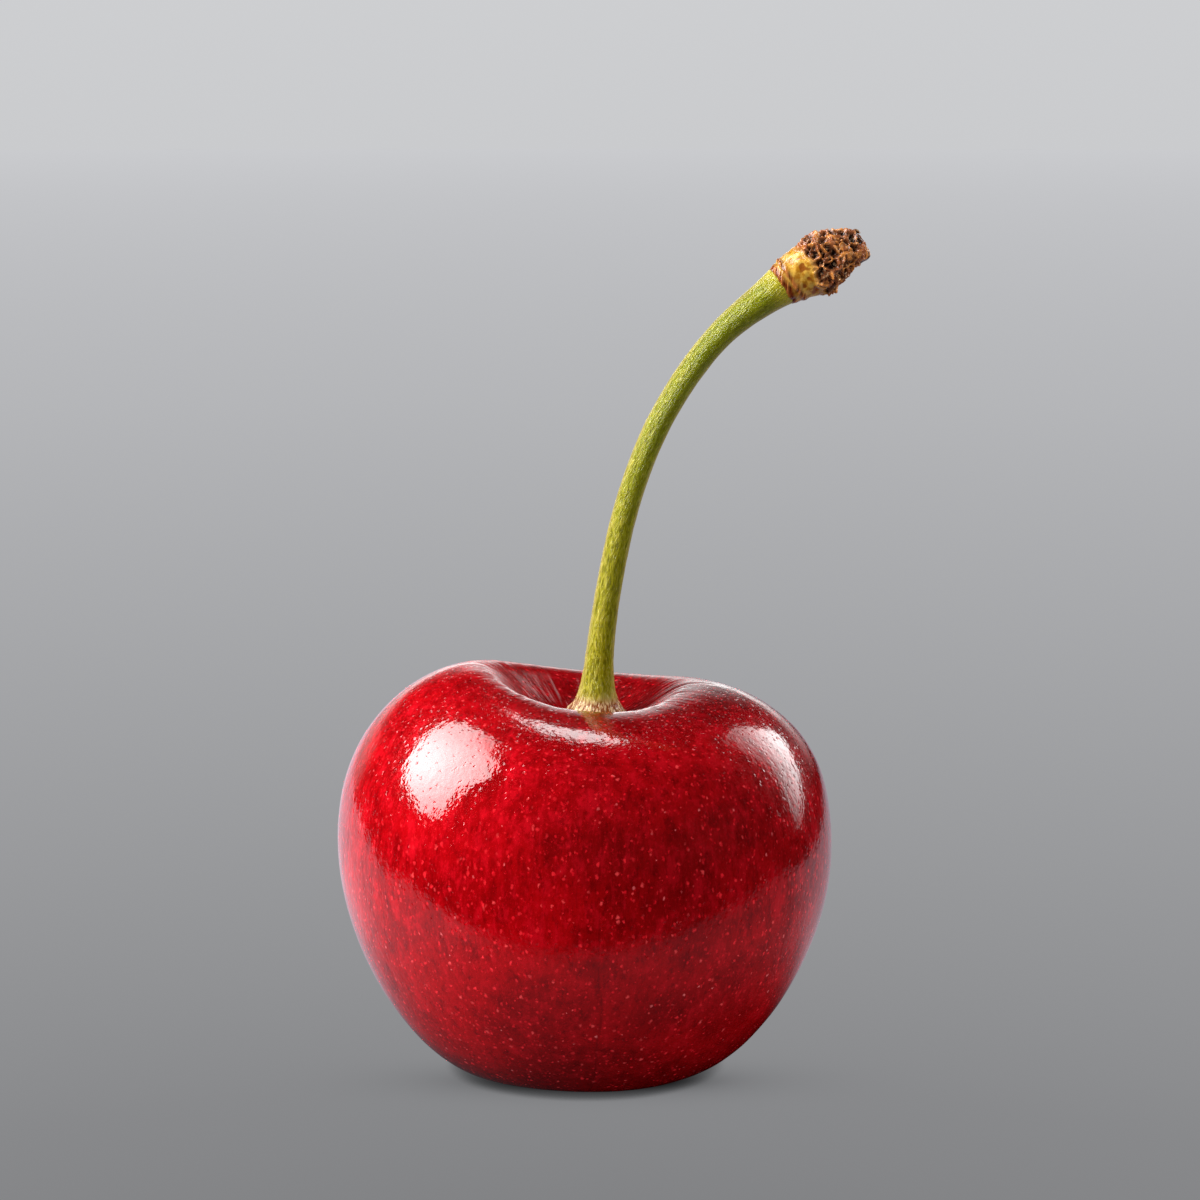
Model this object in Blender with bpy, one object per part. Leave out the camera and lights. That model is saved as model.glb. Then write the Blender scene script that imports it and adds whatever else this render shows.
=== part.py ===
"""A sweet cherry on its stalk, standing on the flat spot under the fruit.

Three pieces: the whole fruit, its stalk, and the woody end that the stalk tore
from the tree, with what is left of the bud scales.  Metres, +Z up.  The origin
is the centre of the flat spot, the seam of the fruit faces -Y and the stalk
leans towards +X.
"""
import math

import bmesh
import bpy
from mathutils import Vector

MM = 0.001

# ---- Driving dimensions, in millimetres -------------------------------------

SEATING_GAP = 0.3        # clearance left where one piece grows out of another

# The outline of the fruit, from the axis underneath to the axis in the stalk
# hollow: (radius, height, lift), where lift is the share of the uneven rim
# that the point takes part in.  The first three lie in the resting plane, so
# the curve they steer starts with a flat spot.
FRUIT_OUTLINE = (
    (0.0, 0.0, 0.0),
    (2.4, 0.0, 0.0),
    (4.8, 0.0, 0.0),
    (7.7, 0.1, 0.0),
    (11.1, 3.9, 0.0),
    (13.3, 8.7, 0.0),
    (13.8, 13.2, 0.0),
    (13.0, 17.6, 0.2),
    (10.1, 20.6, 0.7),
    (6.3, 21.7, 1.0),
    (4.8, 21.3, 0.8),
    (2.8, 19.7, 0.2),
    (1.2, 19.6, 0.0),
    (0.0, 19.6, 0.0),
)
FLAT_SPOT_RADIUS = 4.0   # the resting face, cheek to cheek
FLAT_SPOT_RISE = 0.01    # below this the outline counts as resting
HOLLOW_CAP_RADIUS = 0.8  # the hollow is closed across this, under the stalk
SEAM_DEPTH_RATIO = 0.93  # seam to back, as a share of cheek to cheek

# The rim of the hollow is a saddle: high at the two cheeks, low at the seam.
RIM_TILT_X = -0.6        # the -X cheek is the higher one
RIM_TILT_Y = 0.15        # the back stands a little above the seam
RIM_SADDLE = 0.53        # cheeks up and seam down by this

# The middle line of the stalk, from the hollow to the woody end.
STALK_ROUTE = (
    (0.6, 0.0, 20.0),
    (0.8, -0.2, 23.9),
    (1.5, -0.2, 28.1),
    (2.2, -0.1, 31.4),
    (3.7, 0.2, 35.5),
    (5.7, 0.5, 38.7),
    (7.7, 0.9, 41.1),
    (10.6, 1.3, 43.1),
)
STALK_FOOT_RADIUS = 1.55    # the fibrous foot, where it spreads on the fruit
STALK_FOOT_LENGTH = 0.8     # how soon the spread of the foot dies away
STALK_COLLAR_RADIUS = 0.3   # slower thickening above the foot
STALK_COLLAR_LENGTH = 2.6
STALK_RADIUS = 0.67         # the even stretch
STALK_HEAD_RADIUS = 1.1     # where it meets the woody end
STALK_HEAD_LENGTH = 2.2

# The woody end carries on from the stalk and droops a little.
WOODY_ROUTE = (
    (10.6, 1.3, 43.1),
    (12.0, 1.4, 44.0),
    (13.4, 1.5, 44.5),
    (15.4, 1.6, 44.9),
)
WOODY_RADII = (1.05, 1.3, 1.42, 1.6, 1.7, 1.6, 1.25, 0.85, 0.2)
WOODY_LOBES = ((3, 0.05, 1.3), (5, 0.04, -2.1))  # (lobes round, height share, twist)

# ---- How finely the surfaces are cut ----------------------------------------

FRUIT_SEGMENTS = 56
FRUIT_STEPS = 3          # rings to each stretch of the outline
STALK_SEGMENTS = 16
STALK_STEPS = 6
WOODY_SEGMENTS = 28
WOODY_STEPS = 7


def smooth_curve(points, steps, before, after):
    """Walk a cubic B-spline steered by points, `steps` places per stretch.

    `before` and `after` are the steering points beyond the two ends.
    """
    steer = [Vector(p) for p in (before, *points, after)]
    places = []
    for first in range(len(points) - 1):
        p0, p1, p2, p3 = steer[first:first + 4]
        for step in range(steps):
            t = step / steps
            places.append((
                p0 * (1 - t) ** 3
                + p1 * (3 * t ** 3 - 6 * t ** 2 + 4)
                + p2 * (-3 * t ** 3 + 3 * t ** 2 + 3 * t + 1)
                + p3 * t ** 3
            ) / 6)
    places.append((steer[-3] + steer[-2] * 4 + steer[-1]) / 6)
    return places


def open_curve(points, steps):
    """A smooth curve that starts on the first point and ends on the last."""
    first, second = Vector(points[0]), Vector(points[1])
    last, last_but_one = Vector(points[-1]), Vector(points[-2])
    return smooth_curve(points, steps, first * 2 - second, last * 2 - last_but_one)


def outline_curve(points, steps):
    """A smooth outline whose two ends meet the axis squarely."""
    radius, *rest = points[1]
    before = (-radius, *rest)
    radius, *rest = points[-2]
    after = (-radius, *rest)
    return smooth_curve(points, steps, before, after)


def rim_rise(angle):
    """How far the rim of the stalk hollow stands above its mean height."""
    return (RIM_TILT_X * math.cos(angle)
            + RIM_TILT_Y * math.sin(angle)
            + RIM_SADDLE * math.cos(2 * angle))


def angles(count):
    return [math.tau * step / count for step in range(count)]


def fruit_rings():
    """Rings of the fruit from the edge of the flat spot up into the hollow."""
    profile = [(FLAT_SPOT_RADIUS, 0.0, 0.0)]
    for radius, height, lift in outline_curve(FRUIT_OUTLINE, FRUIT_STEPS):
        if height > FLAT_SPOT_RISE and radius > HOLLOW_CAP_RADIUS:
            profile.append((radius, height, lift))
    return [
        [
            Vector((radius * math.cos(a),
                    radius * math.sin(a) * SEAM_DEPTH_RATIO,
                    height + lift * rim_rise(a)))
            for a in angles(FRUIT_SEGMENTS)
        ]
        for radius, height, lift in profile
    ]


def swept_rings(line, segments, radius_at):
    """Rings square to a middle line; radius_at(distance, angle) sizes them."""
    rings = []
    travelled = 0.0
    for index, centre in enumerate(line):
        before = line[max(index - 1, 0)]
        after = line[min(index + 1, len(line) - 1)]
        along = (after - before).normalized()
        across = Vector((0, 1, 0)).cross(along).normalized()
        aside = along.cross(across)
        if index:
            travelled += (centre - before).length
        rings.append([
            centre + (across * math.cos(a) + aside * math.sin(a)) * radius_at(travelled, a)
            for a in angles(segments)
        ])
    return rings


def stalk_rings():
    """The stalk: a spreading foot, an even stretch and a thickened head."""
    line = open_curve(STALK_ROUTE, STALK_STEPS)
    length = sum((b - a).length for a, b in zip(line, line[1:]))
    foot_spread = STALK_FOOT_RADIUS - STALK_RADIUS - STALK_COLLAR_RADIUS
    head_spread = STALK_HEAD_RADIUS - STALK_RADIUS

    def radius_at(distance, _angle):
        foot = foot_spread * math.exp(-distance / STALK_FOOT_LENGTH)
        collar = STALK_COLLAR_RADIUS * math.exp(-distance / STALK_COLLAR_LENGTH)
        head = head_spread * math.exp((distance - length) / STALK_HEAD_LENGTH)
        return STALK_RADIUS + foot + collar + head

    return swept_rings(line, STALK_SEGMENTS, radius_at)


def woody_rings():
    """The woody end: widest past its middle, lobed by the bud scales."""
    line = open_curve(WOODY_ROUTE, WOODY_STEPS)
    line[0] = line[0] + (line[1] - line[0]).normalized() * SEATING_GAP
    length = sum((b - a).length for a, b in zip(line, line[1:]))
    spacing = 1 / (len(WOODY_RADII) - 1)
    radii = open_curve([(spacing * i, r) for i, r in enumerate(WOODY_RADII)], WOODY_STEPS)

    def radius_at(distance, angle):
        share = distance / length
        radius = next(r for place, r in radii if place >= share - 1e-6)
        swelling = 1.0
        for count, height, twist in WOODY_LOBES:
            swelling += share * height * math.sin(count * angle + twist * distance)
        return radius * swelling

    return swept_rings(line, WOODY_SEGMENTS, radius_at)


def lofted_solid(name, rings, material):
    """Skin a stack of rings, close both ends and make it an object."""
    mesh = bmesh.new()
    rows = [[mesh.verts.new(place * MM) for place in ring] for ring in rings]
    for low, high in zip(rows, rows[1:]):
        for index in range(len(low)):
            after = (index + 1) % len(low)
            mesh.faces.new((low[index], low[after], high[after], high[index]))
    mesh.faces.new(rows[0][::-1])
    mesh.faces.new(rows[-1])
    bmesh.ops.recalc_face_normals(mesh, faces=mesh.faces)
    data = bpy.data.meshes.new(name)
    mesh.to_mesh(data)
    mesh.free()
    data.shade_smooth()
    data.set_sharp_from_angle(angle=math.radians(40))
    data.materials.append(material)
    solid = bpy.data.objects.new(name, data)
    bpy.context.scene.collection.objects.link(solid)
    return solid


def plain_material(name, colour, roughness):
    material = bpy.data.materials.new(name)
    material.use_nodes = True
    shader = material.node_tree.nodes["Principled BSDF"]
    shader.inputs["Base Color"].default_value = (*colour, 1.0)
    shader.inputs["Roughness"].default_value = roughness
    shader.inputs["Metallic"].default_value = 0.0
    return material


def build():
    for leftover in list(bpy.data.objects):
        bpy.data.objects.remove(leftover)
    lofted_solid("fruit", fruit_rings(),
                 plain_material("cherry_skin", (0.45, 0.005, 0.012), 0.18))
    stalk = stalk_rings()
    lofted_solid("stalk", stalk,
                 plain_material("green_stalk", (0.24, 0.30, 0.04), 0.45))
    lofted_solid("woody_end", woody_rings(),
                 plain_material("bud_wood", (0.22, 0.09, 0.03), 0.5))


build()
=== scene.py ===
import math

import bpy
import numpy as np
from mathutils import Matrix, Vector, noise


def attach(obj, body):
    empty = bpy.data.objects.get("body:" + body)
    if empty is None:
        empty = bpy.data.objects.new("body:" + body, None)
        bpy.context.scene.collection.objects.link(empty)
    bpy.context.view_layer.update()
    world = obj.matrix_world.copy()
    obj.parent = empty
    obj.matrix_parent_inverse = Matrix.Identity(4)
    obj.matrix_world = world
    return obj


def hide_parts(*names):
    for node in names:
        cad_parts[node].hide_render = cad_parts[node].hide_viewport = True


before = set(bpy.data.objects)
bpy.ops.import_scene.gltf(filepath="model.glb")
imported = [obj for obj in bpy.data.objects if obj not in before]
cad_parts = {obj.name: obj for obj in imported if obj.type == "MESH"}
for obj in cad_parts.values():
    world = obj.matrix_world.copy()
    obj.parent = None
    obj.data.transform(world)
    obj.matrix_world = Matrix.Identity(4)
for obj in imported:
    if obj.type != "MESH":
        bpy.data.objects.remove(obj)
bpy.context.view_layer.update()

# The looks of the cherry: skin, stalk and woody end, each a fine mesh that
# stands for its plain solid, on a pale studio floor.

MM = 0.001

# ---- The shape of the plain solids, repeated here in millimetres -------------

FRUIT_OUTLINE = (
    (0.0, 0.0, 0.0),
    (2.4, 0.0, 0.0),
    (4.8, 0.0, 0.0),
    (7.7, 0.1, 0.0),
    (11.1, 3.9, 0.0),
    (13.3, 8.7, 0.0),
    (13.8, 13.2, 0.0),
    (13.0, 17.6, 0.2),
    (10.1, 20.6, 0.7),
    (6.3, 21.7, 1.0),
    (4.8, 21.3, 0.8),
    (2.8, 19.7, 0.2),
    (1.2, 19.6, 0.0),
    (0.0, 19.6, 0.0),
)
SEAM_DEPTH_RATIO = 0.93
RIM_TILT_X = -0.6
RIM_TILT_Y = 0.15
RIM_SADDLE = 0.53

STALK_ROUTE = (
    (0.6, 0.0, 20.0),
    (0.8, -0.2, 23.9),
    (1.5, -0.2, 28.1),
    (2.2, -0.1, 31.4),
    (3.7, 0.2, 35.5),
    (5.7, 0.5, 38.7),
    (7.7, 0.9, 41.1),
    (10.6, 1.3, 43.1),
)
STALK_FOOT_RADIUS = 1.55
STALK_FOOT_LENGTH = 0.8
STALK_COLLAR_RADIUS = 0.3
STALK_COLLAR_LENGTH = 2.6
STALK_RADIUS = 0.67
STALK_HEAD_RADIUS = 1.1
STALK_HEAD_LENGTH = 2.2

WOODY_ROUTE = (
    (10.6, 1.3, 43.1),
    (12.0, 1.4, 44.0),
    (13.4, 1.5, 44.5),
    (15.4, 1.6, 44.9),
)
WOODY_RADII = (1.05, 1.3, 1.42, 1.6, 1.7, 1.6, 1.25, 0.85, 0.2)

# ---- How finely the looks are cut --------------------------------------------

FRUIT_RINGS, FRUIT_SEGMENTS = 220, 432
STALK_RINGS, STALK_SEGMENTS = 620, 96
WOODY_RINGS, WOODY_SEGMENTS = 250, 224


# ---- Curves and grids ---------------------------------------------------------

def spline(points, places, before, after):
    """A cubic B-spline steered by points, read at places from 0 to 1."""
    steer = np.array([before, *points, after], dtype=float)
    travel = np.asarray(places) * (len(points) - 1)
    first = np.clip(travel.astype(int), 0, len(points) - 2)
    t = (travel - first)[:, None]
    return (steer[first] * (1 - t) ** 3
            + steer[first + 1] * (3 * t ** 3 - 6 * t ** 2 + 4)
            + steer[first + 2] * (-3 * t ** 3 + 3 * t ** 2 + 3 * t + 1)
            + steer[first + 3] * t ** 3) / 6


def open_spline(points, places):
    p = np.array(points, dtype=float)
    return spline(points, places, 2 * p[0] - p[1], 2 * p[-1] - p[-2])


def even_places(curve_at, count, samples=4000):
    """Places along a curve that are the same distance apart, and its length."""
    tries = np.linspace(0, 1, samples)
    steps = np.linalg.norm(np.diff(curve_at(tries), axis=0), axis=1)
    travelled = np.concatenate([[0], np.cumsum(steps)])
    return np.interp(np.linspace(0, travelled[-1], count), travelled, tries), travelled[-1]


def grid_normals(grid):
    """Outward unit normals of a grid of rings that closes round each ring."""
    around = np.roll(grid, -1, axis=1) - np.roll(grid, 1, axis=1)
    along = np.gradient(grid, axis=0)
    normal = np.cross(around, along)
    length = np.linalg.norm(normal, axis=2, keepdims=True)
    return normal / np.maximum(length, 1e-12)


def noise_at(places, scale, seed=0.0):
    """Smooth noise between -1 and 1 for every row of places."""
    offset = Vector((seed * 7.13, seed * 3.71, seed * 5.39))
    flat = places.reshape(-1, 3) * np.asarray(scale, dtype=float)
    values = [noise.noise(Vector(p) + offset) for p in flat]
    return np.array(values).reshape(places.shape[:-1])


def layered_noise(places, layers):
    """Noises added up, each as (height, stretch, scale, seed)."""
    return sum(height * noise_at(places * np.array(stretch), scale, seed)
               for height, stretch, scale, seed in layers)


def quad_faces(rows, columns, closed):
    """The quads of a grid of points; a closed grid joins its last column to its first."""
    row = np.arange(rows - 1)[:, None] * columns
    column = np.arange(columns if closed else columns - 1)[None, :]
    beside = (column + 1) % columns
    return np.stack([row + column, row + beside, row + columns + beside,
                     row + columns + column], axis=-1).reshape(-1, 4).tolist()


def write_reading(mesh, name, values):
    """Stores one number, or one vector, for every point of a mesh."""
    kind, field = ("FLOAT_VECTOR", "vector") if values.ndim == 2 else ("FLOAT", "value")
    layer = mesh.attributes.new(name, kind, "POINT")
    layer.data.foreach_set(field, values.ravel().astype(np.float32))


def grid_object(name, grid, readings, material):
    """A closed skin over a grid of rings, capped by a point at each end."""
    rings, segments, _ = grid.shape
    ends = np.array([grid[0].mean(axis=0), grid[-1].mean(axis=0)])
    verts = np.vstack([grid.reshape(-1, 3), ends]) * MM
    start, end = rings * segments, rings * segments + 1
    last = (rings - 1) * segments
    ring = np.arange(segments)
    beside = (ring + 1) % segments
    bottom = np.stack([np.full(segments, start), beside, ring], axis=-1)
    top = np.stack([np.full(segments, end), last + ring, last + beside], axis=-1)
    faces = quad_faces(rings, segments, closed=True) + bottom.tolist() + top.tolist()
    mesh = bpy.data.meshes.new(name)
    mesh.from_pydata(verts.tolist(), [], faces)
    for key, values in readings.items():
        values = np.asarray(values, dtype=float)
        flat = values.reshape(rings * segments, *values.shape[2:])
        write_reading(mesh, key, np.concatenate(
            [flat, [values[0].mean(axis=0)], [values[-1].mean(axis=0)]]))
    mesh.shade_smooth()
    mesh.materials.append(material)
    piece = bpy.data.objects.new(name, mesh)
    bpy.context.scene.collection.objects.link(piece)
    return piece


# ---- Node helpers --------------------------------------------------------------

class Shader:
    """A material's node tree, with short names for what is used most."""

    def __init__(self, name):
        self.material = bpy.data.materials.new(name)
        self.material.use_nodes = True
        self.tree = self.material.node_tree
        self.principled = self.tree.nodes["Principled BSDF"]

    def node(self, kind, **settings):
        made = self.tree.nodes.new("ShaderNode" + kind)
        for key, value in settings.items():
            setattr(made, key, value)
        return made

    def link(self, source, target):
        self.tree.links.new(source, target)

    def set(self, **values):
        for key, value in values.items():
            self.principled.inputs[key.replace("_", " ")].default_value = value

    def attribute(self, name, output="Fac"):
        return self.node("Attribute", attribute_name=name).outputs[output]

    def stretched(self, vector, scale):
        mapping = self.node("Mapping")
        self.link(vector, mapping.inputs["Vector"])
        mapping.inputs["Scale"].default_value = scale
        return mapping.outputs["Vector"]

    def noise(self, vector, scale, detail=3.0, roughness=0.5, output="Fac"):
        made = self.node("TexNoise")
        self.link(vector, made.inputs["Vector"])
        made.inputs["Scale"].default_value = scale
        made.inputs["Detail"].default_value = detail
        made.inputs["Roughness"].default_value = roughness
        return made.outputs[output]

    def voronoi(self, vector, scale):
        made = self.node("TexVoronoi")
        self.link(vector, made.inputs["Vector"])
        made.inputs["Scale"].default_value = scale
        return made

    def range(self, value, low, high, to_low=0.0, to_high=1.0, smooth=True):
        made = self.node("MapRange", interpolation_type="SMOOTHSTEP" if smooth else "LINEAR")
        self.link(value, made.inputs["Value"])
        for key, number in (("From Min", low), ("From Max", high),
                            ("To Min", to_low), ("To Max", to_high)):
            if hasattr(number, "is_linked"):
                self.link(number, made.inputs[key])
            else:
                made.inputs[key].default_value = number
        return made.outputs["Result"]

    def math(self, operation, first, second=None):
        made = self.node("Math", operation=operation)
        for socket, value in zip(made.inputs, (first, second)):
            if value is None:
                continue
            if hasattr(value, "is_linked"):
                self.link(value, socket)
            else:
                socket.default_value = value
        return made.outputs["Value"]

    def mix(self, factor, first, second, blend="MIX"):
        made = self.node("Mix", data_type="RGBA", blend_type=blend)
        for socket, value in ((made.inputs["Factor"], factor),
                              (made.inputs[6], first), (made.inputs[7], second)):
            if hasattr(value, "is_linked"):
                self.link(value, socket)
            elif isinstance(value, tuple):
                socket.default_value = (*value, 1.0)
            else:
                socket.default_value = value
        return made.outputs[2]

    def distance(self, place, middle, widths):
        """How far a place on the floor is from the middle, in half-widths."""
        moved = self.node("VectorMath", operation="SUBTRACT")
        self.link(place, moved.inputs[0])
        moved.inputs[1].default_value = (middle[0] * MM, middle[1] * MM - STAGE_MIDDLE_Y, 0.0)
        scaled = self.stretched(moved.outputs["Vector"],
                                (1 / (widths[0] * MM), 1 / (widths[1] * MM), 0.0))
        length = self.node("VectorMath", operation="LENGTH")
        self.link(scaled, length.inputs[0])
        return length.outputs["Value"]

    def paint(self, colour, tint, reading, low, high, strength=1.0, where=None):
        """Lays a tint over a colour where a reading goes from low to high."""
        share = self.range(reading, low, high, 0.0, strength)
        if where is not None:
            share = self.math("MULTIPLY", share, where)
        return self.mix(share, colour, tint)

    def bump(self, height, distance, strength=1.0, normal=None):
        made = self.node("Bump")
        if hasattr(strength, "is_linked"):
            self.link(strength, made.inputs["Strength"])
        else:
            made.inputs["Strength"].default_value = strength
        made.inputs["Distance"].default_value = distance
        self.link(height, made.inputs["Height"])
        if normal is not None:
            self.link(normal, made.inputs["Normal"])
        return made.outputs["Normal"]


# ---- The fruit ------------------------------------------------------------------

def outline_at(places):
    start, end = np.array(FRUIT_OUTLINE[1]), np.array(FRUIT_OUTLINE[-2])
    mirror = np.array([-1.0, 1.0, 1.0])
    return spline(FRUIT_OUTLINE, places, start * mirror, end * mirror)


SEAM_ANGLE = math.radians(-86.5)
SEAM_GROOVES = ((0.022, 0.22), (0.06, 2.2))      # depth and half-width, mm
SEAM_FADES = (14.0, 6.0)             # distance from the seam where its dent ends, mm
FLAT_SPOT_ENDS = (4.0, 7.0)          # the relief begins past the flat spot, mm
HOLLOW_BEGINS = (9.5, 3.0)           # distance from the end of the outline, mm
NEAR_RIM_RISE = 0.13                 # the rim is higher towards the camera, mm
NEAR_RIM_SPREAD = 0.6                # over this turn, radians
NEAR_RIM_PLACE, NEAR_RIM_WIDTH = 7.5, 2.5        # from the end of the outline, mm

SKIN_DENTS = (       # height in mm, stretch, scale, seed
    (0.07, (1.0, 1.0, 1.0), 0.16, 1),
    (0.008, (1.0, 1.0, 0.55), 0.9, 2),
    (0.0032, (1.0, 1.0, 0.6), 2.3, 3),
)
HOLLOW_FOLDS = (
    (0.045, (5.0, 5.0, 0.3), 1.0, 4),
    (0.034, (12.0, 12.0, 0.35), 1.0, 11),
    (0.018, (26.0, 26.0, 0.6), 1.0, 19),
)


def fruit_grid():
    places, length = even_places(outline_at, FRUIT_RINGS + 2)
    places = places[1:-1]
    outline = outline_at(places)
    travelled = np.linspace(0, length, FRUIT_RINGS + 2)[1:-1]
    angle = np.arange(FRUIT_SEGMENTS) / FRUIT_SEGMENTS * math.tau
    rise = (RIM_TILT_X * np.cos(angle) + RIM_TILT_Y * np.sin(angle)
            + RIM_SADDLE * np.cos(2 * angle))
    radius, height, lift = (outline[:, [i]] for i in range(3))
    grid = np.stack([
        radius * np.cos(angle),
        radius * np.sin(angle) * SEAM_DEPTH_RATIO,
        height + lift * rise,
    ], axis=-1)
    grown = np.stack([
        radius * np.cos(angle),
        radius * np.sin(angle),
        np.broadcast_to(travelled[:, None], grid.shape[:2]),
    ], axis=-1)
    return grid, grown, travelled, length, angle


def seam_distance(grown, angle):
    """Distance in millimetres round the fruit from its seam."""
    turn = (angle - SEAM_ANGLE + math.pi) % math.tau - math.pi
    radius = np.hypot(grown[..., 0], grown[..., 1])
    wander = 0.12 * np.sin(grown[..., 2] * 0.55) + 0.06 * np.sin(grown[..., 2] * 1.3 + 1)
    return turn[None, :] * radius - wander


def smoothstep(value, low, high):
    t = np.clip((value - low) / (high - low), 0, 1)
    return t * t * (3 - 2 * t)


def fruit():
    grid, grown, travelled, length, angle = fruit_grid()
    normal = grid_normals(grid)
    seam = seam_distance(grown, angle)
    height = travelled[:, None] / length
    off_flat = smoothstep(travelled, *FLAT_SPOT_ENDS)[:, None]
    dents = layered_noise(grown, SKIN_DENTS)
    groove = -sum(depth * np.exp(-(seam / width) ** 2) for depth, width in SEAM_GROOVES)
    groove = (groove * smoothstep(np.abs(seam), *SEAM_FADES)
              * smoothstep(height, 0.12, 0.3) * smoothstep(height, 0.78, 0.66))
    left = length - travelled
    hollow = smoothstep(left, *HOLLOW_BEGINS)[:, None]
    round_ways = np.stack(np.broadcast_arrays(np.cos(angle), np.sin(angle),
                                              travelled[:, None]), axis=-1)
    folds = hollow * layered_noise(round_ways, HOLLOW_FOLDS)
    from_front = angle + math.pi / 2 - math.tau * (angle > math.pi / 2)
    near_rim = np.exp(-(from_front / NEAR_RIM_SPREAD) ** 2)
    on_rim = np.exp(-((left[:, None] - NEAR_RIM_PLACE) / NEAR_RIM_WIDTH) ** 2)
    grid[..., 2] += NEAR_RIM_RISE * near_rim * on_rim
    grid = grid + normal * ((dents + groove) * off_flat + folds)[..., None]
    grid[..., 2] = np.maximum(grid[..., 2], 0.0)
    piece = grid_object(
        "cherry_fruit", grid,
        {"grown": grown, "seam": np.abs(seam),
         "height": np.broadcast_to(height, grid.shape[:2]),
         "round": round_ways,
         "hollow": np.broadcast_to(hollow, grid.shape[:2])},
        skin_material())
    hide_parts("fruit")
    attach(piece, "root")
    return piece


SKIN_BRIGHT = (0.414, 0.00043, 0.0026)
SKIN_DEEP = (0.293, 0.00029, 0.0017)
SKIN_LIGHT = (0.614, 0.00286, 0.0107)
SKIN_DARK = (0.136, 0.00007, 0.0006)
# painted shade: these three darken the skin's colour where less light falls on it
SKIN_PAINTED_SIDE_SHADE = (0.60, 0.60, 0.65)
SKIN_PAINTED_RIM_SHADE = (0.62, 0.50, 0.60)
SKIN_PAINTED_UNDER_SHADE = (0.55, 0.45, 0.50)
PORE_BEND = 0.22
PORE_SMALLEST = 0.45
PORES = (            # how close together, how big, colour, strength
    (1.10, 0.115, (1.00, 0.19, 0.20), 1.0),
    (1.60, 0.21, (1.00, 0.072, 0.078), 1.0),
    (2.20, 0.29, (1.00, 0.024, 0.036), 1.0),
    (3.10, 0.33, (0.85, 0.009, 0.019), 0.9),
)


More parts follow.
